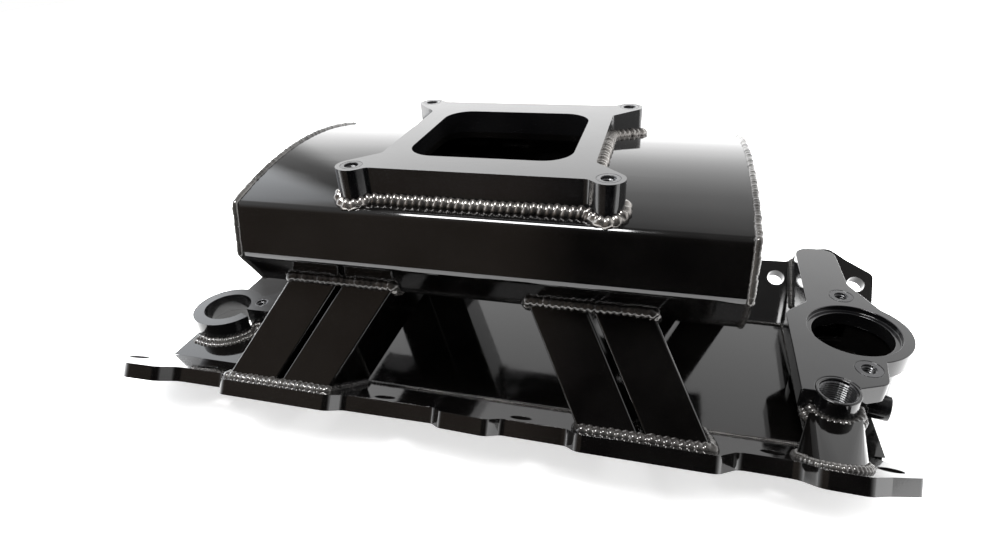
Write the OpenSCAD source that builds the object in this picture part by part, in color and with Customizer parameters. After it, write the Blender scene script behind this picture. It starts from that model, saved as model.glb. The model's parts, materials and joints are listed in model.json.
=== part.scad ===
// Welded sheet-metal intake manifold for a 90-degree V8 engine.
// +X points to the front (thermostat end), +Z points up. The lowest faces lie on Z = 0.
// The right bank is at -Y and the left bank at +Y, further forward by the bank offset.

/* [Head flanges] */
// Distance from the centre plane to the end bolt holes
ear_bolt_y = 95.7; // [94:0.1:98]
// Tilt of the flange faces from horizontal
bank_tilt = 35; // [33:0.5:37]
// How far the left bank sits in front of the right bank
bank_offset = 22.36; // [20:0.02:24]
// Thickness of the flange plates
flange_t = 9.5; // [8:0.5:12]
// Distance from the bolt line down to the flange's valley edge
flange_inner = 42; // [41:0.5:44]
// Radius of the head bolt holes
head_bolt_r = 6.2; // [5.2:0.1:6.5]
// Half the distance between the outermost bolt holes
end_bolt_x = 236.9; // [236:0.1:238]
// Half the distance between the second pair of bolt holes
mid_bolt_x = 180; // [179:0.5:181]
// Half the distance between the two centre bolt holes
centre_bolt_x = 42.7; // [42:0.1:43.5]
// Height of the centre bolt holes above the bolt line, along the slope
centre_bolt_s = 11.5; // [10:0.5:12]

/* [Runners] */
// Distance from the bank's centre to the middle of a runner pair
pair_x = 111.76; // [110:0.02:113]
// Outside width of one runner
runner_w = 33.5; // [30:0.5:34]
// Gap between the two runners of a pair
runner_gap = 3.5; // [3:0.5:8]
// Lower edge of the runner on the flange, below the bolt line
runner_low = 32; // [30:0.5:33]
// Upper edge of the runner on the flange, above the bolt line
runner_high = 22; // [20:0.5:23]
// Wall thickness of the runners
runner_wall = 3; // [2.5:0.5:4]
// Lean of the runners towards the middle of the engine
runner_lean = 28; // [24:1:29]

/* [Plenum] */
// Half the plenum's length over its end plates
plenum_half = 146.5; // [140:0.5:148]
// Height of the roof's crown
roof_z = 161.2; // [158:0.2:163]
// Radius of the roof's arch
roof_r = 273; // [250:1:300]
// Half width at the upper bend
shoulder_y = 79; // [77:0.5:81]
// Half width at the lower bend, where the plenum is widest
hip_y = 86.5; // [85:0.5:88]
// Height of the lower bend
hip_z = 119.5; // [117:0.5:122]
// Half width of the floor
floor_y = 71; // [70:0.5:73]
// Height of the floor's underside
floor_z = 94; // [92:0.5:96]
// Thickness of the sheet
sheet_t = 4; // [3:0.5:5]
// Thickness of the end plates
end_t = 5; // [4:0.5:6]

/* [Carburettor flange] */
// Height of the carburettor flange's top face
carb_z = 172; // [170:0.5:174]
// Distance between the bolt holes along the engine
carb_bolt_x = 142.9; // [142:0.1:144]
// Distance between the bolt holes across the engine
carb_bolt_y = 130.8; // [130:0.1:132]
// Half the body's length along the engine
carb_half_x = 62.5; // [60:0.5:64]
// Half the body's width across the engine
carb_half_y = 68; // [62:0.5:69]
// Half the opening's length along the engine
throat_half_x = 48.5; // [46:0.5:50]
// Half the opening's width across the engine
throat_half_y = 45.4; // [44:0.2:48]
// Corner radius of the opening
throat_r = 17; // [12:1:20]
// Radius of the corner ears
carb_ear_r = 9; // [8:0.5:11]

/* [Water crossover] */
// Position of the thermostat bore along the engine
stat_x = 222.9; // [222:0.1:224]
// Height of the thermostat flange's top face
stat_z = 53.4; // [52:0.2:55]
// Thickness of the thermostat flange
stat_t = 12.7; // [11:0.1:13]
// Radius of the thermostat bore
stat_r = 23.65; // [22:0.05:24]
// Half the distance between the thermostat bolts
stat_bolt_y = 39.7; // [39:0.1:40.5]
// Radius of the flange around the bore
stat_ring_r = 33.5; // [32:0.5:34]
// Radius of the threaded bore in the sensor boss
sensor_r = 10; // [9:0.5:12]

/* [Distributor mount] */
// Position of the distributor bore along the engine
dist_x = -233.5; // [-233.5:0.5:-231]
// Position of the distributor bore across the engine
dist_y = -18; // [-20:0.5:-16]
// Radius of the distributor bore
dist_r = 18; // [17:0.25:18.5]
// Outside radius of the distributor boss
dist_outer_r = 26.5; // [25:0.5:26.5]
// Height of the distributor boss's top face
dist_z = 26; // [24:0.5:28]

/* [Valley] */
// Height of the valley plate's top face
valley_z = 9; // [8.5:0.1:9.5]
// Thickness of the valley plate
valley_t = 3; // [2.5:0.5:4]
// Height of the end rails
rail_z = 11; // [10.5:0.5:12]

/* [Hidden] */
$fn = 64;

coat = [0.09, 0.09, 0.1];
coat_light = [0.16, 0.16, 0.17];
insert_steel = [0.55, 0.55, 0.56];
far = 400;

ear_r = 13;
ear_bolt_z = flange_inner * sin(bank_tilt) + flange_t * cos(bank_tilt);
valley_edge_y = ear_bolt_y - flange_inner * cos(bank_tilt);
rail_edge_y = valley_edge_y + flange_t * sin(bank_tilt);
water_port_x = 208.5;
water_port_s = 2;
water_port_r = 11;

runner_end = 106;
runner_shift = runner_end * tan(runner_lean);
runner_pitch = runner_w + runner_gap;

shoulder_z = roof_z - roof_r + sqrt(roof_r * roof_r - shoulder_y * shoulder_y);
low_dir = unit([hip_y - floor_y, hip_z - floor_z]);
side_dir = unit([shoulder_y - hip_y, shoulder_z - hip_z]);
carb_insert_r = 6.4;
carb_thread_r = 3.95;
carb_insert_deep = 15;

stat_under = stat_z - stat_t;
stat_recess_r = 27;
stat_recess = 3.5;
stat_thread_r = 4.2;
stat_insert_r = 7.5;
sensor_pos = [202.8, -62.6];
sensor_wall = 2;
sensor_drop = 4;
sensor_outer_r = sensor_r + sensor_wall;
arm_x = [202.5, 230.2];
arm_end_y = ear_bolt_y + (stat_under - ear_bolt_z) / tan(bank_tilt);
duct_wall = 4;
duct_z = 22;
leg_left_y = 76;
duct_left_y = [8, 86];
duct_right_x = [193, 221];
duct_right_y = [-60, -8];
bowl_r = 29;
bowl_inner_r = 25;
bowl_z = 16;
leg_top = [203.5, -66, 42];
leg_top_r = 13;
leg_foot_r = 17;
leg_wall = 4;
heater_pos = [221, -40, 29];
heater_turn = -12;
heater_r = 7.5;
heater_bore_r = 5;
heater_in = 8;
heater_out = 18;

rear_rail_x = [-252, -183];
front_rail_x = [196, 236];

dist_slot = [[40, -1.2], [40, -15]];
hold_down = [dist_x + 24.5, dist_y + 10.4];
hold_down_insert_r = 5.6;
hold_down_r = 4.1;

// Unit vector along v
function unit(v) = v / norm(v);

// Points of the arc that rounds corner b, between its neighbours a and c
function corner_arc(a, b, c, r, steps) =
  let (u = unit(a - b), v = unit(c - b), half = acos(u * v) / 2)
  let (centre = b + unit(u + v) * r / sin(half))
  let (from = b + u * r / tan(half) - centre, to = b + v * r / tan(half) - centre)
  let (start = atan2(from[1], from[0]))
  let (turn = (atan2(to[1], to[0]) - start + 540) % 360 - 180)
  [for (i = [0 : steps]) centre + r * [cos(start + turn * i / steps), sin(start + turn * i / steps)]];

// A closed outline from corners [x, y, radius]
function rounded(corners, steps = 6) =
  let (n = len(corners))
  [for (i = [0 : n - 1])
    let (a = corners[(i + n - 1) % n], b = corners[i], c = corners[(i + 1) % n])
    each b[2] > 0 ? corner_arc([a[0], a[1]], [b[0], b[1]], [c[0], c[1]], b[2], steps) : [[b[0], b[1]]]];

// Places children on a bank: x runs along the bank, y up the slope, z into the cylinder head
module bank(turn) {
  rotate([0, 0, turn])
    translate([-bank_offset / 2, -ear_bolt_y, ear_bolt_z])
      rotate([180 - bank_tilt, 0, 0])
        children();
}

// Rectangle with rounded corners, centred
module rounded_rect(half_x, half_y, r) {
  polygon(rounded([
    [-half_x, -half_y, r], [half_x, -half_y, r], [half_x, half_y, r], [-half_x, half_y, r]
  ], 12));
}

// Corners of one half of the flange's outline: the pad under a runner pair starts and ends
// at the given distances, then come the port and the ear with its bolt
function flange_half(pad_start, pad_end) = [
  [pad_start - 6, 24, 5], [pad_start, 34, 6], [pad_end, 34, 7], [pad_end + 12, 14, 8],
  [190, 15, 8], [198, 27, 8], [219, 29, 10], [231, 20, 8],
  [249.5, 9, 5], [247, -22, 10], [232, -flange_inner, 8]
];

// Outline of a head flange: the upper edge is scalloped round the bolts, ports and pads
module flange_outline() {
  ahead = flange_half(77, 149);
  behind = flange_half(70, 143);
  behind_mirrored = [for (i = [len(behind) - 1 : -1 : 0]) [-behind[i][0], behind[i][1], behind[i][2]]];
  middle_pad = [[-8, 21, 4], [-1, 30, 5], [27, 33, 5], [34, 23, 4]];
  polygon(rounded(concat(behind_mirrored, middle_pad, ahead)));
}

// Slanting prism of one runner on a bank, from the flange face inwards, shrunk by an inset
module runner_prism(pair, side, inset) {
  middle = pair * pair_x + side * runner_pitch / 2;
  half = runner_w / 2 - inset;
  shift = -pair * runner_shift;
  translate([0, runner_high - inset, 0])
    rotate([90, 0, 0])
      linear_extrude(height = runner_high + runner_low - 2 * inset)
        polygon([[middle - half, 0], [middle + half, 0],
                 [middle + half + shift, -runner_end], [middle - half + shift, -runner_end]]);
}

// All the passages inside the runners, used to cut the windows above them
module runner_passages() {
  for (turn = [0, 180])
    for (pair = [-1, 1])
      for (side = [-1, 1])
        bank(turn) runner_prism(pair, side, runner_wall);
}

module runner(turn, pair, side) {
  color(coat)
    difference() {
      bank(turn) runner_prism(pair, side, 0);
      bank(turn) runner_prism(pair, side, runner_wall);
      plenum_solid();
    }
}

module head_flange(turn, water_end) {
  color(coat)
    bank(turn)
      linear_extrude(height = flange_t)
        difference() {
          flange_outline();
          for (end = [-1, 1]) {
            translate([end * end_bolt_x, 0]) circle(r = head_bolt_r);
            translate([end * mid_bolt_x, 0]) circle(r = head_bolt_r);
            translate([end * centre_bolt_x, centre_bolt_s]) circle(r = head_bolt_r);
            for (side = [-1, 1])
              translate([end * pair_x + side * runner_pitch / 2, (runner_high - runner_low) / 2])
                rounded_rect(runner_w / 2 - runner_wall, (runner_high + runner_low) / 2 - runner_wall, 4);
          }
          translate([water_end * water_port_x, water_port_s]) circle(r = water_port_r);
        }
}

module head_flange_right() { head_flange(0, 1); }

module head_flange_left() { head_flange(180, -1); }

// The space taken by both flanges and everything outside them
module outside_flanges() {
  for (turn = [0, 180])
    bank(turn)
      union() {
        translate([-far, -flange_inner, 0]) cube([2 * far, far, flange_t + far]);
        translate([-far, -far, flange_t]) cube([2 * far, 2 * far, far]);
      }
}

// A flat plate in the valley, cut to meet the flanges' edges
module valley_slab(x0, x1, z0, z1) {
  difference() {
    translate([x0, -rail_edge_y - 3, z0]) cube([x1 - x0, 2 * rail_edge_y + 6, z1 - z0]);
    outside_flanges();
  }
}

module valley_plate() {
  color(coat) valley_slab(rear_rail_x[1], front_rail_x[0], valley_z - valley_t, valley_z);
}

// Rail across the rear of the valley, under the distributor boss
module rear_end_rail() {
  color(coat)
    difference() {
      valley_slab(rear_rail_x[0], rear_rail_x[1], 0, rail_z);
      translate([dist_x, dist_y, -1]) cylinder(r = dist_r, h = rail_z + 2);
    }
}

// Rail across the front of the valley, under the water crossover
module front_end_rail() {
  color(coat) valley_slab(front_rail_x[0], front_rail_x[1], 0, rail_z);
}

// Cross-section of the plenum, drawn across the engine and shrunk by an inset
module plenum_section(inset) {
  hip_in = [hip_y, hip_z] + unit(side_dir - low_dir) * inset / sin(acos(-low_dir * side_dir) / 2);
  right = [
    [floor_y, floor_z] + inset * [-low_dir[1], low_dir[0]],
    hip_in,
    hip_in + side_dir * (roof_z - floor_z)
  ];
  intersection() {
    translate([0, roof_z - roof_r]) circle(r = roof_r - inset, $fn = 360);
    polygon(concat(right, [for (i = [2 : -1 : 0]) [-right[i][0], right[i][1]]]));
  }
}

// Extrudes a cross-section along the engine between two stations
module along(x0, x1) {
  translate([x0, 0, 0])
    rotate([90, 0, 90])
      linear_extrude(height = x1 - x0)
        children();
}

module plenum_solid() {
  along(-plenum_half, plenum_half) plenum_section(0);
}

module throat(z0, z1) {
  translate([0, 0, z0])
    linear_extrude(height = z1 - z0)
      rounded_rect(throat_half_x, throat_half_y, throat_r);
}

// Roof, shoulders and lower walls, bent from one sheet
module plenum_shell() {
  color(coat)
    difference() {
      along(-plenum_half + end_t, plenum_half - end_t)
        difference() {
          plenum_section(0);
          plenum_section(sheet_t);
          translate([-far, floor_z - 1]) square([2 * far, sheet_t + 1]);
        }
      throat(hip_z, carb_z + 1);
      runner_passages();
    }
}

// Floor plate with a window over each runner
module plenum_floor() {
  color(coat)
    difference() {
      along(-plenum_half + end_t, plenum_half - end_t)
        intersection() {
          plenum_section(0);
          translate([-far, floor_z - 1]) square([2 * far, sheet_t + 1]);
        }
      runner_passages();
    }
}

module plenum_end_front() {
  color(coat) along(plenum_half - end_t, plenum_half) plenum_section(0);
}

module plenum_end_rear() {
  color(coat) along(-plenum_half, -plenum_half + end_t) plenum_section(0);
}

module carb_hole_places() {
  for (x = [-1, 1])
    for (y = [-1, 1])
      translate([x * carb_bolt_x / 2, y * carb_bolt_y / 2]) children();
}

// Corners of the outline round one ear, whose neck runs out along the diagonal
function ear_corners(sx, sy) =
  let (ex = carb_bolt_x / 2, ey = carb_bolt_y / 2, reach = carb_ear_r * sqrt(2))
  let (tip_r = carb_ear_r - 0.2)
  let (ear = [
    [carb_half_x, ey - reach - (ex - carb_half_x), 5],
    [ex + reach, ey, tip_r],
    [ex, ey + reach, tip_r],
    [ex - reach - (ey - carb_half_y), carb_half_y, 5]
  ])
  [for (i = [0 : 3]) let (c = ear[sx * sy > 0 ? i : 3 - i]) [sx * c[0], sy * c[1], c[2]]];

module carb_flange() {
  color(coat_light)
    difference() {
      translate([0, 0, hip_z])
        linear_extrude(height = carb_z - hip_z)
          polygon(rounded(concat(
            ear_corners(1, 1), ear_corners(-1, 1), ear_corners(-1, -1), ear_corners(1, -1)
          ), 8));
      plenum_solid();
      throat(hip_z - 1, carb_z + 1);
      translate([0, 0, carb_z - carb_insert_deep])
        carb_hole_places() cylinder(r = carb_insert_r, h = carb_insert_deep + 1);
    }
}

module carb_thread_inserts() {
  color(insert_steel)
    translate([0, 0, carb_z - carb_insert_deep])
      carb_hole_places()
        difference() {
          cylinder(r = carb_insert_r, h = carb_insert_deep);
          translate([0, 0, -1]) cylinder(r = carb_thread_r, h = carb_insert_deep + 2);
        }
}

// Outline of the thermostat flange: a ring round the bore, an arm to the left bank
// and a corner that reaches back past the sensor boss
module stat_outline() {
  ring = [for (i = [0 : 24]) let (a = 50 - 5 * i) [stat_x + stat_ring_r * cos(a), stat_ring_r * sin(a), 0]];
  polygon(rounded(concat(
    [[200, -65.1, 2], [183.3, -65.1, 1], [184.8, 14, 9], [199.6, 29, 5],
     [arm_x[0], arm_end_y, 11], [arm_x[1], arm_end_y, 11], [arm_x[1], 56, 14]],
    ring,
    [[231, -52, 7]]
  )));
}

module stat_bolt_places() {
  for (y = [-1, 1])
    translate([stat_x, y * stat_bolt_y, 0]) children();
}

module thermostat_flange() {
  color(coat_light)
    difference() {
      translate([0, 0, stat_under]) linear_extrude(height = stat_t) stat_outline();
      translate([stat_x, 0, stat_under - 1]) cylinder(r = stat_r, h = stat_t + 2);
      translate([stat_x, 0, stat_z - stat_recess]) cylinder(r = stat_recess_r, h = stat_recess + 1);
      translate([0, 0, stat_under - 1]) stat_bolt_places() cylinder(r = stat_insert_r, h = stat_t + 2);
      translate([sensor_pos[0], sensor_pos[1], stat_under - 1]) cylinder(r = sensor_outer_r, h = stat_t + 2);
    }
}

module thermostat_thread_inserts() {
  color(insert_steel)
    translate([0, 0, stat_under])
      stat_bolt_places()
        difference() {
          cylinder(r = stat_insert_r, h = stat_t);
          translate([0, 0, -1]) cylinder(r = stat_thread_r, h = stat_t + 2);
        }
}

module bowl_outside() {
  translate([stat_x, 0, bowl_z]) cylinder(r = bowl_r, h = stat_under - bowl_z);
}

// Bowl below the thermostat, open to the ducts on both sides
module thermostat_bowl() {
  color(coat)
    difference() {
      bowl_outside();
      translate([stat_x, 0, bowl_z + duct_wall]) cylinder(r = bowl_inner_r, h = stat_under);
      duct_left(duct_wall);
      duct_right(duct_wall);
    }
}

// Block below the flange's arm, from the bowl to the left bank
module duct_left(inset) {
  translate([arm_x[0] + inset, duct_left_y[0], duct_z + inset])
    cube([arm_x[1] - arm_x[0] - 2 * inset, duct_left_y[1] - duct_left_y[0] - inset, stat_under - duct_z - inset]);
}

// Block below the flange's rear corner, from the bowl to the right-hand leg
module duct_right(inset) {
  translate([duct_right_x[0] + inset, duct_right_y[0], duct_z + inset])
    cube([duct_right_x[1] - duct_right_x[0] - 2 * inset, duct_right_y[1] - duct_right_y[0],
          stat_under - duct_z - inset]);
}

module leg_left_block(inset) {
  translate([arm_x[0] + inset, leg_left_y + inset, rail_z])
    cube([arm_x[1] - arm_x[0] - 2 * inset, arm_end_y - leg_left_y - 2 * inset, stat_under - rail_z]);
}

module crossover_duct_left() {
  color(coat)
    difference() {
      duct_left(0);
      duct_left(duct_wall);
      bowl_outside();
      leg_left_block(0);
      outside_flanges();
    }
}

module crossover_duct_right() {
  color(coat)
    difference() {
      duct_right(0);
      duct_right(duct_wall);
      bowl_outside();
      leg_right_shape(0);
      at_heater() cylinder(r = heater_r, h = heater_in + heater_out);
      translate([sensor_pos[0], sensor_pos[1], stat_under - sensor_drop])
        cylinder(r = sensor_outer_r, h = stat_z);
      outside_flanges();
    }
}

// Block from the left flange's water port up into the duct
module water_leg_left() {
  color(coat)
    difference() {
      leg_left_block(0);
      leg_left_block(duct_wall);
      duct_left(duct_wall);
      outside_flanges();
    }
}

// Leg from the right flange's water port up to the sensor boss
module leg_right_shape(inset) {
  hull() {
    bank(0)
      translate([water_port_x, water_port_s, -1])
        cylinder(r = leg_foot_r - inset, h = 2, $fn = 32);
    translate([leg_top[0], leg_top[1], duct_z + inset])
      cylinder(r = leg_top_r - inset, h = leg_top[2] - duct_z - 2 * inset, $fn = 32);
  }
}

module water_leg_right() {
  color(coat)
    difference() {
      leg_right_shape(0);
      leg_right_shape(leg_wall);
      duct_right(duct_wall);
      outside_flanges();
      translate([0, 0, stat_under]) linear_extrude(height = stat_t) stat_outline();
      translate([sensor_pos[0], sensor_pos[1], stat_under - sensor_drop])
        cylinder(r = sensor_outer_r, h = stat_z);
    }
}

// Threaded boss for the temperature sensor
module sensor_boss() {
  color(coat_light)
    translate([sensor_pos[0], sensor_pos[1], stat_under - sensor_drop])
      difference() {
        cylinder(r = sensor_outer_r, h = stat_t + sensor_drop);
        translate([0, 0, -1]) cylinder(r = sensor_r, h = stat_t + sensor_drop + 2);
      }
}

// Places children at the heater boss, with z running forward out of its mouth
module at_heater() {
  translate(heater_pos)
    rotate([0, 90, heater_turn])
      translate([0, 0, -heater_in])
        children();
}

// Threaded boss for the heater hose, set through the front wall of the right-hand duct
module heater_boss() {
  color(coat_light)
    at_heater()
      difference() {
        cylinder(r = heater_r, h = heater_in + heater_out);
        translate([0, 0, -1]) cylinder(r = heater_bore_r, h = heater_in + heater_out + 2);
      }
}

// Distributor boss: a split ring with a hold-down pad
module boss_outline() {
  difference() {
    union() {
      translate([dist_x, dist_y]) circle(r = dist_outer_r);
      polygon(rounded([
        [dist_x + 8, dist_y - 1, 0], [dist_x + 46, dist_y - 0.4, 3], [dist_x + 50, dist_y + 22, 4],
        [dist_x + 46, dist_y + 45, 4], [dist_x + 39, dist_y + 43, 5], [dist_x + 29.5, dist_y + 26.7, 6],
        [dist_x + 20.5, dist_y + 18.5, 5], [dist_x + 8, dist_y + 22, 0]
      ]));
    }
    translate([dist_x, dist_y]) circle(r = dist_r);
    translate([dist_x, dist_y]) polygon([[0, 0], dist_slot[0], dist_slot[1]]);
  }
}

module distributor_boss() {
  color(coat_light)
    difference() {
      translate([0, 0, rail_z]) linear_extrude(height = dist_z - rail_z) boss_outline();
      translate([hold_down[0], hold_down[1], 0]) cylinder(r = hold_down_insert_r, h = dist_z + 1);
    }
}

module hold_down_thread_insert() {
  color(insert_steel)
    translate([hold_down[0], hold_down[1], rail_z])
      difference() {
        cylinder(r = hold_down_insert_r, h = dist_z - rail_z);
        translate([0, 0, -1]) cylinder(r = hold_down_r, h = dist_z);
      }
}

head_flange_right();
head_flange_left();
valley_plate();
front_end_rail();
rear_end_rail();
runner(0, 1, 1);  // runner_1
runner(0, 1, -1);  // runner_2
runner(0, -1, 1);  // runner_3
runner(0, -1, -1);  // runner_4
runner(180, -1, -1);  // runner_5
runner(180, -1, 1);  // runner_6
runner(180, 1, -1);  // runner_7
runner(180, 1, 1);  // runner_8
plenum_shell();
plenum_floor();
plenum_end_front();
plenum_end_rear();
carb_flange();
carb_thread_inserts();
thermostat_flange();
thermostat_bowl();
crossover_duct_left();
crossover_duct_right();
water_leg_right();
water_leg_left();
thermostat_thread_inserts();
sensor_boss();
heater_boss();
distributor_boss();
hold_down_thread_insert();
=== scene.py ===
import json
import math
import random

import bmesh
import bpy
from mathutils import Matrix, Vector


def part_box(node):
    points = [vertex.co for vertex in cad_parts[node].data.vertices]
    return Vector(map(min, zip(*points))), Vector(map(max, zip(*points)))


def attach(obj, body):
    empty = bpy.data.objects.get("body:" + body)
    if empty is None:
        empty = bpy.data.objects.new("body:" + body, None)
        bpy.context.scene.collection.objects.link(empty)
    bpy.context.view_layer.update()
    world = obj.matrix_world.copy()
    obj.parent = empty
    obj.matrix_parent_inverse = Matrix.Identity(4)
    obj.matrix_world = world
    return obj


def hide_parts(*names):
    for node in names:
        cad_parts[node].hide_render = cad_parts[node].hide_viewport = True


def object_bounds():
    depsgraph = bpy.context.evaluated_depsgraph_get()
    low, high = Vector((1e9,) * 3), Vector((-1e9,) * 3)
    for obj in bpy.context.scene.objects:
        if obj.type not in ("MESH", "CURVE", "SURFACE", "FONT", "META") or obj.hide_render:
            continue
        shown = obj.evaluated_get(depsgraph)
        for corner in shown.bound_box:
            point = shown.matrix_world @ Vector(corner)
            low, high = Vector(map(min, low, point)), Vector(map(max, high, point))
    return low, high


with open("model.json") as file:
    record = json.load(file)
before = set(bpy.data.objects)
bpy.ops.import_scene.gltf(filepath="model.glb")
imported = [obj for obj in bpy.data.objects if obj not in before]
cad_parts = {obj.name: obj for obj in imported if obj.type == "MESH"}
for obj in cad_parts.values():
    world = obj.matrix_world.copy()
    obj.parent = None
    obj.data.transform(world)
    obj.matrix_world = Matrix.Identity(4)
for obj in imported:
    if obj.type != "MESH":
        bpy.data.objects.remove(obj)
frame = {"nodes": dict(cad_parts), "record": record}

cad_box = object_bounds()
MM = 0.001
BODY = "root"
MOUNTS = {m["name"]: m for m in frame["record"]["mounts"]}
UP = Vector((0, 0, 1))
ALONG = Vector((1, 0, 0))
RUNNERS = [f"runner_{i}" for i in range(1, 9)]


# ---------------------------------------------------------------- camera, floor, light

CAMERA_PLACE = Vector((97.85, -356.68, 288.14)) * MM
CAMERA_TURN = (16.47, 30.8, -3.16)  # azimuth, elevation and roll, in degrees
SENSOR_MM = 36.0
LENS_MM = 21.9


def make_camera():
    """A close, wide camera low over the right bank, with a slight roll."""
    azimuth, elevation, roll = (math.radians(a) for a in CAMERA_TURN)
    back = Vector((math.sin(azimuth) * math.cos(elevation),
                   -math.cos(azimuth) * math.cos(elevation),
                   math.sin(elevation)))
    level = (-back).cross(UP).normalized()
    rise = level.cross(-back)
    right = level * math.cos(roll) + rise * math.sin(roll)
    top = rise * math.cos(roll) - level * math.sin(roll)
    data = bpy.data.cameras.new("camera")
    data.sensor_fit = "HORIZONTAL"
    data.sensor_width = SENSOR_MM
    data.lens = LENS_MM
    data.clip_start = 0.01
    camera = bpy.data.objects.new("camera", data)
    axes = Matrix((right, top, back)).transposed().to_4x4()
    camera.matrix_world = Matrix.Translation(CAMERA_PLACE) @ axes
    bpy.context.scene.collection.objects.link(camera)
    bpy.context.scene.camera = camera


def node(tree, kind, **values):
    """Adds a shader node and sets its properties."""
    new = tree.nodes.new(kind)
    for key, value in values.items():
        setattr(new, key, value)
    return new


def ramp(tree, source, stops, mode="LINEAR"):
    """A colour ramp over a value: stops are (position, grey or colour)."""
    new = node(tree, "ShaderNodeValToRGB")
    new.color_ramp.interpolation = mode
    elements = new.color_ramp.elements
    while len(elements) < len(stops):
        elements.new(0.5)
    for element, (position, colour) in zip(elements, stops):
        element.position = position
        element.color = (*colour, 1) if isinstance(colour, tuple) else (colour, colour, colour, 1)
    tree.links.new(source, new.inputs["Fac"])
    return new


def scaled(tree, value, factor, mode="MULTIPLY"):
    """Colour times, or plus, another colour."""
    new = node(tree, "ShaderNodeMix", data_type="RGBA", blend_type=mode)
    new.inputs["Factor"].default_value = 1.0
    for source, socket in ((value, new.inputs["A"]), (factor, new.inputs["B"])):
        if isinstance(source, tuple):
            socket.default_value = (*source, 1)
        else:
            tree.links.new(source, socket)
    return new.outputs["Result"]


def between(tree, value, low, high):
    """A smooth step from 0 at low to 1 at high."""
    new = node(tree, "ShaderNodeMapRange", interpolation_type="SMOOTHSTEP")
    new.inputs["From Min"].default_value = low
    new.inputs["From Max"].default_value = high
    tree.links.new(value, new.inputs["Value"])
    return new.outputs["Result"]


# The studio that glossy surfaces show: brightness by height, from the horizon at 0 to straight up at 1
SWEEP = [(0.0, 1.0), (0.3, 0.97), (0.5, 0.72), (0.63, 0.56), (0.74, 0.43), (0.84, 0.26), (0.95, 0.1)]
WINDOW_HEIGHT = [(0.0, 0.4), (0.4, 0.5), (0.62, 0.4), (0.7, 0.3), (0.74, 0.0)]
# Brightness by compass direction: a dark flag stands beside a cool window towards the rear end
FLAG = [(0.0, 1.0), (0.378, 1.0), (0.386, 0.3), (0.397, 0.3), (0.407, 1.0)]
WINDOW = [(0.18, 0.0), (0.25, (0.85, 0.95, 1.1)), (0.375, (0.9, 0.97, 1.06)), (0.385, 0.0)]
ROOM = (0.085, 0.07, 0.058)
STUDIO_STRENGTH = 2.9
WHITE = (1, 1, 1, 1)


def make_world():
    """A white studio sweep: bright low behind and beside the object, darker overhead and dark in front."""
    world = bpy.data.worlds.new("studio")
    bpy.context.scene.world = world
    world.use_nodes = True
    tree = world.node_tree
    tree.nodes.clear()
    links = tree.links
    place = node(tree, "ShaderNodeTexCoord")
    axes = node(tree, "ShaderNodeSeparateXYZ")
    links.new(place.outputs["Generated"], axes.inputs[0])
    x, y, z = (axes.outputs[k] for k in "XYZ")
    height = ramp(tree, z, SWEEP)
    sweep = scaled(tree, height.outputs["Color"], between(tree, y, -0.7, -0.1))
    room = scaled(tree, ROOM, between(tree, x, -0.1, -0.24))
    dim = scaled(tree, room, between(tree, y, -0.3, -0.6))
    around = azimuth(tree, x, y)
    flag = ramp(tree, around, FLAG)
    window_up = ramp(tree, z, WINDOW_HEIGHT)
    window_side = ramp(tree, around, WINDOW)
    window = scaled(tree, window_up.outputs["Color"], window_side.outputs["Color"])
    lit = scaled(tree, scaled(tree, sweep, flag.outputs["Color"]), window, "ADD")
    both = scaled(tree, lit, dim, "ADD")
    reflected = node(tree, "ShaderNodeBackground")
    links.new(both, reflected.inputs["Color"])
    reflected.inputs["Strength"].default_value = STUDIO_STRENGTH
    seen = node(tree, "ShaderNodeBackground")
    seen.inputs["Color"].default_value = WHITE
    rays = node(tree, "ShaderNodeLightPath")
    mix = node(tree, "ShaderNodeMixShader")
    links.new(rays.outputs["Is Camera Ray"], mix.inputs["Fac"])
    links.new(reflected.outputs[0], mix.inputs[1])
    links.new(seen.outputs[0], mix.inputs[2])
    out = node(tree, "ShaderNodeOutputWorld")
    links.new(mix.outputs[0], out.inputs["Surface"])


def azimuth(tree, x, y):
    """Compass direction as 0 to 1: a half is straight behind the object, lower is to its rear end."""
    turn = node(tree, "ShaderNodeMath", operation="ARCTAN2")
    tree.links.new(x, turn.inputs[0])
    tree.links.new(y, turn.inputs[1])
    unit = node(tree, "ShaderNodeMapRange")
    unit.inputs["From Min"].default_value = -math.pi
    unit.inputs["From Max"].default_value = math.pi
    tree.links.new(turn.outputs[0], unit.inputs["Value"])
    return unit.outputs["Result"]


FLOOR_NEAR, FLOOR_REAR, FLOOR_SIDE = -0.26, 3.5, 3.0
FLOOR_GLOW = 0.62


def make_floor():
    """A plain pale floor, a little short of the camera side so that glossy walls see the dark room there."""
    material = bpy.data.materials.new("floor")
    material.use_nodes = True
    tree = material.node_tree
    shader = tree.nodes["Principled BSDF"]
    grain = node(tree, "ShaderNodeTexNoise")
    grain.inputs["Scale"].default_value = 4.0
    tone = ramp(tree, grain.outputs["Fac"], [(0.3, 0.86), (0.7, 0.9)])
    tree.links.new(tone.outputs["Color"], shader.inputs["Base Color"])
    shader.inputs["Roughness"].default_value = 0.9
    shader.inputs["Emission Color"].default_value = WHITE
    shader.inputs["Emission Strength"].default_value = FLOOR_GLOW
    mesh = bpy.data.meshes.new("floor")
    low = cad_box[0][2] - 0.2 * MM
    near = [(-FLOOR_SIDE, FLOOR_NEAR, low), (FLOOR_SIDE, FLOOR_NEAR, low)]
    rear = [(FLOOR_SIDE, FLOOR_REAR, low), (-FLOOR_SIDE, FLOOR_REAR, low)]
    mesh.from_pydata(near + rear, [], [(0, 1, 2, 3)])
    mesh.materials.append(material)
    floor = bpy.data.objects.new("floor", mesh)
    bpy.context.scene.collection.objects.link(floor)


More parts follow.
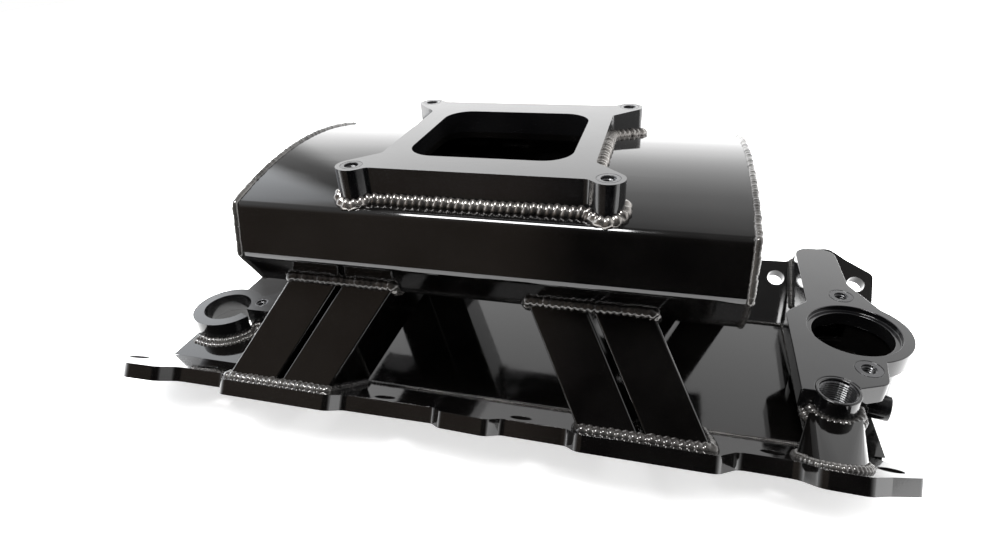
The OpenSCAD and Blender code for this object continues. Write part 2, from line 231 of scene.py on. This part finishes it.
def make_light(name, place, aim, width, depth, energy, mirrored):
    """A broad soft light; mirrored says whether glossy surfaces show it."""
    data = bpy.data.lights.new(name, "AREA")
    data.shape = "RECTANGLE"
    data.size, data.size_y = width, depth
    data.energy = energy
    light = bpy.data.objects.new(name, data)
    light.location = place
    light.rotation_euler = (Vector(aim) - light.location).to_track_quat("-Z", "Y").to_euler()
    light.visible_glossy = mirrored
    light.visible_camera = False
    bpy.context.scene.collection.objects.link(light)


# ---------------------------------------------------------------- materials

def noise(tree, coordinates, scale, detail=2.0, stretch=(1, 1, 1)):
    """Noise in the part's own metres; stretch above 1 packs it tighter along an axis."""
    mapping = node(tree, "ShaderNodeMapping")
    mapping.inputs["Scale"].default_value = stretch
    tree.links.new(coordinates, mapping.inputs["Vector"])
    new = node(tree, "ShaderNodeTexNoise")
    new.inputs["Scale"].default_value = scale
    new.inputs["Detail"].default_value = detail
    tree.links.new(mapping.outputs["Vector"], new.inputs["Vector"])
    return new


SKIN_DEPTH = 0.1 * MM
MARK_DEPTH = 0.05 * MM


def coated(name, dark, light, rough, peel, marks=None, metallic=0.0, ior=1.5):
    """A coated metal: cloudy colour and gloss, a fine orange-peel skin and optional tool marks."""
    material = bpy.data.materials.new(name)
    material.use_nodes = True
    tree = material.node_tree
    links = tree.links
    shader = tree.nodes["Principled BSDF"]
    place = node(tree, "ShaderNodeTexCoord").outputs["Object"]
    cloud = noise(tree, place, 26, 4)
    colour = ramp(tree, cloud.outputs["Fac"], [(0.35, dark), (0.7, light)])
    links.new(colour.outputs["Color"], shader.inputs["Base Color"])
    smear = noise(tree, place, 75, 5, (1, 1.6, 1))
    gloss = ramp(tree, smear.outputs["Fac"], [(0.35, rough[0]), (0.75, rough[1])])
    links.new(gloss.outputs["Color"], shader.inputs["Roughness"])
    skin = noise(tree, place, 620, 2)
    bump = node(tree, "ShaderNodeBump")
    bump.inputs["Strength"].default_value = peel
    bump.inputs["Distance"].default_value = SKIN_DEPTH
    links.new(skin.outputs["Fac"], bump.inputs["Height"])
    last = bump
    if marks:
        lines = noise(tree, place, 90, 3, marks)
        last = node(tree, "ShaderNodeBump")
        last.inputs["Strength"].default_value = 0.12
        last.inputs["Distance"].default_value = MARK_DEPTH
        links.new(lines.outputs["Fac"], last.inputs["Height"])
        links.new(bump.outputs["Normal"], last.inputs["Normal"])
    links.new(last.outputs["Normal"], shader.inputs["Normal"])
    shader.inputs["Metallic"].default_value = metallic
    shader.inputs["IOR"].default_value = ior
    return material


def make_materials():
    """The object's looks: each has its darkest and lightest colour, its range of roughness and its peel."""
    return {
        "gloss": coated("gloss_black_coat", (0.0011, 0.001, 0.001), (0.0026, 0.0024, 0.0023),
                        (0.05, 0.11), 0.04),
        "machined": coated("machined_black", (0.002, 0.002, 0.0022), (0.0045, 0.0045, 0.0048),
                           (0.09, 0.16), 0.05, marks=(1, 16, 16)),
        "bead": coated("weld_bead_coated", (0.02, 0.019, 0.018), (0.085, 0.081, 0.077),
                       (0.08, 0.2), 0.5, metallic=0.6, ior=1.7),
        # The carburettor bead: the same weld coat painted lighter and more metallic, a painted highlight
        # standing in for the light it catches.
        "bead_painted_bright": coated("weld_bead_painted_highlight", (0.10, 0.094, 0.088), (0.3, 0.285, 0.27),
                       (0.12, 0.25), 0.3, metallic=0.85, ior=1.7),
        "thread": coated("thread_insert", (0.02, 0.02, 0.021), (0.045, 0.045, 0.047),
                         (0.2, 0.32), 0.08, marks=(1, 1, 20), metallic=0.5),
    }


# ---------------------------------------------------------------- pieces made from the frame

SAME_POINT = 0.002 * MM
SAME_PLANE = math.radians(0.4)
EDGE_BREAK = 0.6 * MM
MACHINED_EDGE_BREAK = 0.8 * MM
INSERT_EDGE_BREAK = 0.4 * MM
SHEET_BEND = 3.5 * MM
TUBE_CORNER = 3.0 * MM


def cad_mesh(name):
    """A clean working copy of a CAD node: joined corners, and each flat face in one piece."""
    bm = bmesh.new()
    bm.from_mesh(frame["nodes"][name].data)
    bmesh.ops.remove_doubles(bm, verts=bm.verts, dist=SAME_POINT)
    bmesh.ops.dissolve_limit(bm, angle_limit=SAME_PLANE, verts=bm.verts, edges=bm.edges)
    bm.normal_update()
    return bm


def sharp_edges(bm, least_angle=28):
    """Edges where two faces meet at more than an angle, in degrees."""
    limit = math.radians(least_angle)
    return [e for e in bm.edges if len(e.link_faces) == 2 and e.calc_face_angle(0) > limit]


def bevel(bm, edges, width, segments):
    """Rounds some edges of a working mesh."""
    if edges:
        bmesh.ops.bevel(bm, geom=edges, offset=width, segments=segments, profile=0.5,
                        affect="EDGES", clamp_overlap=True)


def mounted(bm, name, material, smooth=True):
    """Turns a working mesh into a piece that rides on the body."""
    mesh = bpy.data.meshes.new(name)
    bm.to_mesh(mesh)
    bm.free()
    for face in mesh.polygons:
        face.use_smooth = smooth
    mesh.materials.append(material)
    piece = bpy.data.objects.new(name, mesh)
    bpy.context.scene.collection.objects.link(piece)
    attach(piece, BODY)
    return piece


def reshaped(bm, node_name, ending, material):
    """A piece that stands for a CAD node, with crisp edges between its flat faces."""
    piece = mounted(bm, f"{node_name}_{ending}", material)
    piece.data.set_sharp_from_angle(angle=math.radians(40))
    weighted = piece.modifiers.new("flat_faces", "WEIGHTED_NORMAL")
    weighted.keep_sharp = True
    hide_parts(node_name)


def finished(name, material, width=EDGE_BREAK):
    """A CAD node's own shape with every sharp edge broken."""
    bm = cad_mesh(name)
    bevel(bm, sharp_edges(bm), width, 2)
    reshaped(bm, name, "finished", material)


def bent_sheet(name, material):
    """A sheet-metal node whose long outer bends along the engine are rolled."""
    bm = cad_mesh(name)
    outer = []
    for edge in sharp_edges(bm):
        a, b = (v.co for v in edge.verts)
        middle = (a + b) / 2
        runs_along = abs((a - b).normalized().x) > 0.99
        out = middle - Vector((middle.x, 0, HIP_Z))
        on_outside = all(f.normal.dot(out) > 0 for f in edge.link_faces)
        if runs_along and on_outside and middle.z > FLOOR_Z + 5 * MM:
            outer.append(edge)
    bevel(bm, outer, SHEET_BEND, 6)
    reshaped(bm, name, "bent", material)


def runner_piece(name, material):
    """A rectangular tube: its long corners are rolled, its ends stay square under the welds."""
    bm = cad_mesh(name)
    long_edges = [e for e in sharp_edges(bm) if e.calc_length() > 30 * MM
                  and abs((e.verts[0].co - e.verts[1].co).normalized().z) > 0.3]
    bevel(bm, long_edges, TUBE_CORNER, 5)
    reshaped(bm, name, "tube", material)


# ---------------------------------------------------------------- weld beads

def region_loops(name, keep):
    """Ordered outlines round the faces of a CAD node that keep() accepts, the longest first."""
    bm = cad_mesh(name)
    chosen = {f for f in bm.faces if keep(f)}
    border = [e for e in bm.edges if sum(f in chosen for f in e.link_faces) == 1]
    follows = {}
    for e in border:
        for v, w in (e.verts, reversed(e.verts)):
            follows.setdefault(v.index, []).append(w)
    points = {v.index: v.co.copy() for e in border for v in e.verts}
    loops = []
    left = set(points)
    while left:
        start = min(left)
        loop, here, before = [], start, None
        while here in left:
            left.discard(here)
            loop.append(points[here])
            ahead = [w.index for w in follows[here] if w.index != before and w.index in left]
            before = here
            if ahead:
                here = ahead[0]
        loops.append(loop)
    bm.free()
    loops.sort(key=lambda p: -sum((a - b).length for a, b in zip(p, p[1:] + p[:1])))
    return loops


def on_plane(point, normal, slack=0.05 * MM):
    """A test for faces that lie in a plane."""
    def test(face):
        off = (face.calc_center_median() - point).dot(normal)
        return abs(face.normal.dot(normal)) > 0.999 and abs(off) < slack
    return test


def resample(points, closed, step):
    """Points along a line at an even step."""
    line = points + points[:1] if closed else points
    total = sum((a - b).length for a, b in zip(line, line[1:]))
    count = max(3, round(total / step))
    spots, walked, target = [], 0.0, 0.0
    gap = total / count
    for a, b in zip(line, line[1:]):
        length = (b - a).length
        while length > 0 and target <= walked + length + 1e-9 and len(spots) <= count:
            spots.append(a.lerp(b, min(1.0, (target - walked) / length)))
            target += gap
        walked += length
    return spots[:count] if closed else spots


def smooth_line(points, closed, passes):
    """Rounds the corners of an evenly spaced line."""
    for _ in range(passes):
        last = len(points) - 1
        points = [
            p if not closed and i in (0, last)
            else (points[i - 1] + 2 * p + points[(i + 1) % len(points)]) / 4
            for i, p in enumerate(points)
        ]
    return points


RINGS_PER_SCALE = 6
BEAD_SIDES = 10


def bead_rings(line, closed, radius, crest, depth, seed):
    """Cross-sections of a bead: each scale is a crescent that swells and dips, and no two are the same."""
    steps, sides = RINGS_PER_SCALE, BEAD_SIDES
    rng = random.Random(seed)
    count = len(line)
    scales = count // steps + 2
    swell = [1 + rng.uniform(-0.08, 0.08) for _ in range(scales)]
    drift = [rng.uniform(-0.08, 0.08) for _ in range(scales)]
    rings = []
    for i, p in enumerate(line):
        before = line[i - 1] if closed or i else p
        after = line[(i + 1) % count] if closed or i < count - 1 else p
        tangent = (after - before).normalized()
        top = crest(p) if callable(crest) else crest
        top = (top - tangent * top.dot(tangent)).normalized()
        side = tangent.cross(top)
        taper = 1.0 if closed else math.sqrt(min(1.0, (min(i, count - 1 - i) + 0.4) / steps))
        which = (i // steps) % scales
        ring = []
        for k in range(sides):
            angle = 2 * math.pi * k / sides
            phase = (i / steps + 0.55 * (1 - math.cos(angle))) % 1.0
            r = radius * swell[which] * taper * (1 - depth + depth * math.sin(math.pi * phase) ** 0.6)
            ring.append(p + top * r * math.cos(angle) + side * (r * math.sin(angle) + drift[which] * radius))
        rings.append(ring)
    return rings


def weld_bead(name, points, closed, shape, crest, material, seed):
    """A row of overlapping scales along a joint. crest is the way the bead bulges."""
    radius, pitch, depth = shape
    line = smooth_line(resample(points, closed, radius * pitch / RINGS_PER_SCALE), closed, 6)
    rings = bead_rings(line, closed, radius, crest, depth, seed)
    bm = bmesh.new()
    made = [[bm.verts.new(v) for v in ring] for ring in rings]
    for ring, following in zip(made, made[1:] + made[:1] if closed else made[1:]):
        for k in range(BEAD_SIDES):
            m = (k + 1) % BEAD_SIDES
            bm.faces.new((ring[k], ring[m], following[m], following[k]))
    if not closed:
        bm.faces.new(made[0][::-1])
        bm.faces.new(made[-1])
    bmesh.ops.recalc_face_normals(bm, faces=bm.faces)
    mounted(bm, name, material)


def runs(loop, keep):
    """Stretches of a closed loop whose points pass a test."""
    if all(keep(p) for p in loop):
        return [loop]
    start = next(i for i, p in enumerate(loop) if not keep(p))
    found, run = [], []
    for p in loop[start:] + loop[:start]:
        if keep(p):
            run.append(p)
        elif run:
            found.append(run)
            run = []
    return [r for r in found + [run] if len(r) > 3]


def circle_line(centre, radius, height, count=64):
    """Points round a level circle."""
    turn = 2 * math.pi / count
    angles = [i * turn for i in range(count)]
    return [Vector((centre.x + radius * math.cos(a), centre.y + radius * math.sin(a), height)) for a in angles]


def outward(loop, flat=UP):
    """A crest for a bead round a loop: half away from the loop's middle, half up."""
    middle = sum(loop, Vector()) / len(loop)

    def crest(p):
        away = p - middle
        away -= flat * away.dot(flat)
        return away.normalized() + flat
    return crest


# ---------------------------------------------------------------- the object

# Weld beads: radius, length of a scale in radii, and depth of the dips between scales
PAIR_FOOT_BEAD = (3.9 * MM, 1.0, 0.34)
PAIR_HEAD_BEAD = (4.0 * MM, 0.9, 0.34)
PLENUM_END_BEAD = (2.1 * MM, 1.1, 0.08)
CARB_BEAD = (4.4 * MM, 0.95, 0.42)
VALLEY_BEAD = (1.6 * MM, 0.75, 0.22)
LEG_BEADS = {"right": (3.0 * MM, 0.8, 0.28), "left": (2.6 * MM, 0.8, 0.28)}
SENSOR_BEAD = (3.2 * MM, 0.95, 0.34)
DISTRIBUTOR_BEAD = (3.4 * MM, 0.95, 0.34)
# Two rows of bead round a boss: how far each row stands out from the boss and down from its top edge
SENSOR_ROWS = ((1.2 * MM, 0.5 * MM), (3.2 * MM, 4.5 * MM))
DISTRIBUTOR_ROWS = ((0.8 * MM, 0), (5.0 * MM, 1.0 * MM))
# The plenum end beads lie a little back from the end faces and a little inside their rims
RIM_BACK = 1.7 * MM
RIM_WIDTH = 0.993
RIM_HEIGHT = 0.98
POINT_STEP = 2 * MM
ROOF_R = 273 * MM
FLOOR_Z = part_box("plenum_floor")[0].z
HIP_Z = (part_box("plenum_shell")[0].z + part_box("plenum_shell")[1].z) / 2


def flange_face(side):
    """A point on a head flange's upper face, and the way that face looks."""
    bolts = MOUNTS[f"{side}_mid_bolts"]
    return Vector(bolts["pos_m"]), Vector(bolts["axis"]).normalized()


BANKS = {side: flange_face(side) for side in ("right", "left")}


def bank_of(name):
    """The bank that a node belongs to."""
    return "right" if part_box(name)[0].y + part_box(name)[1].y < 0 else "left"


def round_pair(first, second):
    """One outline round two neighbouring tubes, without the sides that face each other."""
    first, second = (resample(loop, True, POINT_STEP) for loop in (first, second))

    def distance(p, loop):
        return min((p - q).length for q in loop)
    gap = min(distance(p, second) for p in first)
    halves = [max(runs(loop, lambda p: distance(p, other) > 1.3 * gap), key=len)
              for loop, other in ((first, second), (second, first))]
    if (halves[0][-1] - halves[1][0]).length > (halves[0][-1] - halves[1][-1]).length:
        halves[1].reverse()
    return halves[0] + halves[1]


def runner_foot(name):
    """Outline of a runner where it stands on its head flange."""
    place, normal = BANKS[bank_of(name)]
    return region_loops(name, on_plane(place, normal))[0]


def runner_head(name):
    """Outline of a runner where it meets the plenum."""
    return region_loops(name, lambda f: f.calc_center_median().z > FLOOR_Z - 0.1 * MM
                        and abs(f.normal.x) < 0.01 and f.normal.z > 0.2)[0]


def runner_welds(looks):
    """Beads round the feet and the heads of each pair of runners."""
    for i, (a, b) in enumerate(zip(RUNNERS[::2], RUNNERS[1::2])):
        normal = BANKS[bank_of(a)][1]
        foot = round_pair(runner_foot(a), runner_foot(b))
        weld_bead(f"weld_pair_{i + 1}_feet", foot, True, PAIR_FOOT_BEAD,
                  outward(foot, normal), looks["bead"], 20 + i)
        head = round_pair(runner_head(a), runner_head(b))
        weld_bead(f"weld_pair_{i + 1}_heads", head, True, PAIR_HEAD_BEAD,
                  outward(head, -UP), looks["bead"], 40 + i)


def plenum_welds(looks):
    """Low beads round the rims of the plenum's end plates."""
    for i, (name, end) in enumerate((("plenum_end_front", 1), ("plenum_end_rear", -1))):
        lo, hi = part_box(name)
        x = hi.x if end > 0 else lo.x
        rim = region_loops(name, on_plane(Vector((x, 0, 0)), ALONG))[0]
        inner = [
            Vector((p.x - end * RIM_BACK, p.y * RIM_WIDTH, HIP_Z + (p.z - HIP_Z) * RIM_HEIGHT))
            for p in rim
        ]
        weld_bead(f"weld_{name}", inner, True, PLENUM_END_BEAD,
                  outward(inner, ALONG * 0.001), looks["bead"], 60 + i)


def roof_height(y):
    """Height of the plenum's arched roof."""
    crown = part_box("plenum_end_front")[1].z
    return crown - ROOF_R + math.sqrt(ROOF_R * ROOF_R - y * y)


def carb_weld(looks):
    """The bead where the carburettor flange stands on the roof, in a lighter, more metallic copy of the bead
    coat: a painted highlight for the strong light it catches.
    """
    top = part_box("carb_flange")[1].z
    rim = region_loops("carb_flange", on_plane(Vector((0, 0, top)), UP))[0]
    foot = [Vector((p.x, p.y, roof_height(p.y) + 0.4 * MM)) for p in resample(rim, True, POINT_STEP)]
    weld_bead("weld_carb_flange", foot, True, CARB_BEAD, outward(foot), looks["bead_painted_bright"], 70)


def valley_weld(looks):
    """A thin bead round the valley plate."""
    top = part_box("valley_plate")[1].z
    rim = region_loops("valley_plate", on_plane(Vector((0, 0, top)), UP))[0]
    weld_bead("weld_valley", rim, True, VALLEY_BEAD, lambda p: UP, looks["bead"], 80)


def leg_welds(looks):
    """Beads round the feet of the water legs."""
    for i, (side, shape) in enumerate(LEG_BEADS.items()):
        place, normal = BANKS[side]
        foot = region_loops(f"water_leg_{side}", on_plane(place, normal, 0.2 * MM))[0]
        weld_bead(f"weld_water_leg_{side}", foot, True, shape, outward(foot, normal), looks["bead"], 90 + i)


def sensor_welds(looks):
    """Two rows of bead on the near side of the sensor boss, above the water leg."""
    sensor = Vector(MOUNTS["sensor_port"]["pos_m"])
    leg_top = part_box("water_leg_right")[1].z
    reach = (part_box("sensor_boss")[1].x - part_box("sensor_boss")[0].x) / 2
    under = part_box("thermostat_flange")[0].z
    for i, (out, down) in enumerate(SENSOR_ROWS):
        ring = circle_line(sensor, reach + out, min(leg_top, under) - down)
        for j, run in enumerate(runs(ring, lambda p: p.y < sensor.y + 4 * MM)):
            weld_bead(f"weld_sensor_boss_{i}_{j}", run, False, SENSOR_BEAD,
                      outward(ring), looks["bead"], 94 + i)


def distributor_welds(looks):
    """Two rows of bead round the foot of the distributor boss, clear of its bore and of the rail's end."""
    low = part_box("distributor_boss")[0].z
    rim = region_loops("distributor_boss", on_plane(Vector((0, 0, low)), UP))[0]
    middle = Vector(MOUNTS["distributor_bore"]["pos_m"])
    bore = MOUNTS["distributor_bore"]["dims"]["r_mm"] * MM
    rail_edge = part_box("rear_end_rail")[0].x
    outer = [p for p in resample(rim, True, POINT_STEP) if (p - middle).xy.length > bore + 4 * MM]
    for i, (out, down) in enumerate(DISTRIBUTOR_ROWS):
        row = [p + (p - middle).normalized() * out - UP * (p.z - low + down) for p in outer]
        for j, run in enumerate(runs(row, lambda p: p.x > rail_edge + 2 * MM and p.y < middle.y + 30 * MM)):
            weld_bead(f"weld_distributor_{i}_{j}", run, False, DISTRIBUTOR_BEAD,
                      outward(row), looks["bead"], 97 + i)


BOLT_THREADS = {"carb_bolts": 15 * MM, "thermostat_bolts": 12.7 * MM}  # how deep each is tapped
BOLT_PITCH = 1.4 * MM
PORT_THREADS = ("hold_down", "sensor_port", "heater_port")
PORT_PITCH = 1.6 * MM


def helical_thread(name, centre, axis, radius, length, pitch, material):
    """A helical thread ridge standing in from a bore's wall."""
    axis = axis.normalized()
    across = axis.orthogonal().normalized()
    around = axis.cross(across)
    steps = 24
    turns = int(length / pitch) - 1
    root, crest = radius + 0.05 * MM, radius - 0.45 * pitch
    profile = ((root, -0.45), (crest, -0.06), (crest, 0.06), (root, 0.45))
    bm = bmesh.new()
    rows = []
    for i in range(turns * steps + 1):
        angle = 2 * math.pi * i / steps
        out = across * math.cos(angle) + around * math.sin(angle)
        base = centre + axis * (i / steps - turns / 2) * pitch
        rows.append([bm.verts.new(base + out * r + axis * z * pitch) for r, z in profile])
    for a, b in zip(rows, rows[1:]):
        for k in range(4):
            m = (k + 1) % 4
            bm.faces.new((a[k], a[m], b[m], b[k]))
    bm.faces.new(rows[0][::-1])
    bm.faces.new(rows[-1])
    bmesh.ops.recalc_face_normals(bm, faces=bm.faces)
    mounted(bm, name, material, smooth=False)


def spread(mount, key):
    """Offsets of a bolt pattern's holes from its middle along one axis."""
    half = mount["dims"].get(key, 0) * MM / 2
    return (-half, half) if half else (0,)


def threads(looks):
    """Threads in every tapped hole the mounts list."""
    for name, deep in BOLT_THREADS.items():
        mount = MOUNTS[name]
        top = Vector(mount["pos_m"])
        radius = mount["dims"]["hole_r_mm"] * MM
        for i, x in enumerate(spread(mount, "spacing_x_mm")):
            for j, y in enumerate(spread(mount, "spacing_y_mm")):
                centre = top + Vector((x, y, -deep / 2))
                helical_thread(f"thread_{name}_{i}_{j}", centre, UP, radius, deep,
                               BOLT_PITCH, looks["thread"])
    for name in PORT_THREADS:
        mount = MOUNTS[name]
        dims = mount["dims"]
        helical_thread(f"thread_{name}", Vector(mount["pos_m"]), Vector(mount["axis"]), dims["r_mm"] * MM,
                       dims["length_mm"] * MM, PORT_PITCH, looks["thread"])


SHEET_NODES = ("plenum_shell", "plenum_end_front", "plenum_end_rear")
GLOSS_NODES = (
    "head_flange_right", "head_flange_left", "rear_end_rail", "front_end_rail", "thermostat_bowl",
    "crossover_duct_left", "crossover_duct_right", "water_leg_right", "water_leg_left",
)
MACHINED_NODES = ("carb_flange", "thermostat_flange", "distributor_boss", "sensor_boss", "heater_boss")
INSERT_NODES = ("carb_thread_inserts", "thermostat_thread_inserts", "hold_down_thread_insert")
PLAIN_NODES = ("valley_plate", "plenum_floor")


def build():
    """Every piece of the object. The plain plates keep their CAD mesh and only get the coat."""
    looks = make_materials()
    for name in RUNNERS:
        runner_piece(name, looks["gloss"])
    for name in SHEET_NODES:
        bent_sheet(name, looks["gloss"])
    for name in GLOSS_NODES:
        finished(name, looks["gloss"])
    for name in MACHINED_NODES:
        finished(name, looks["machined"], MACHINED_EDGE_BREAK)
    for name in INSERT_NODES:
        finished(name, looks["thread"], INSERT_EDGE_BREAK)
    for name in PLAIN_NODES:
        frame["nodes"][name].data.materials.clear()
        frame["nodes"][name].data.materials.append(looks["gloss"])
    runner_welds(looks)
    plenum_welds(looks)
    carb_weld(looks)
    valley_weld(looks)
    leg_welds(looks)
    sensor_welds(looks)
    distributor_welds(looks)
    threads(looks)


make_camera()
make_world()
make_floor()
make_light("overhead", (0, 0.1, 1.9), (0, 0.1, 0), 2.8, 2.4, 105, False)
make_light("strip", (-0.236, -0.3, 1.2), (-0.236, 0, 0.1), 0.545, 0.3, 22, True)
build()
bpy.context.scene.view_settings.view_transform = "Standard"
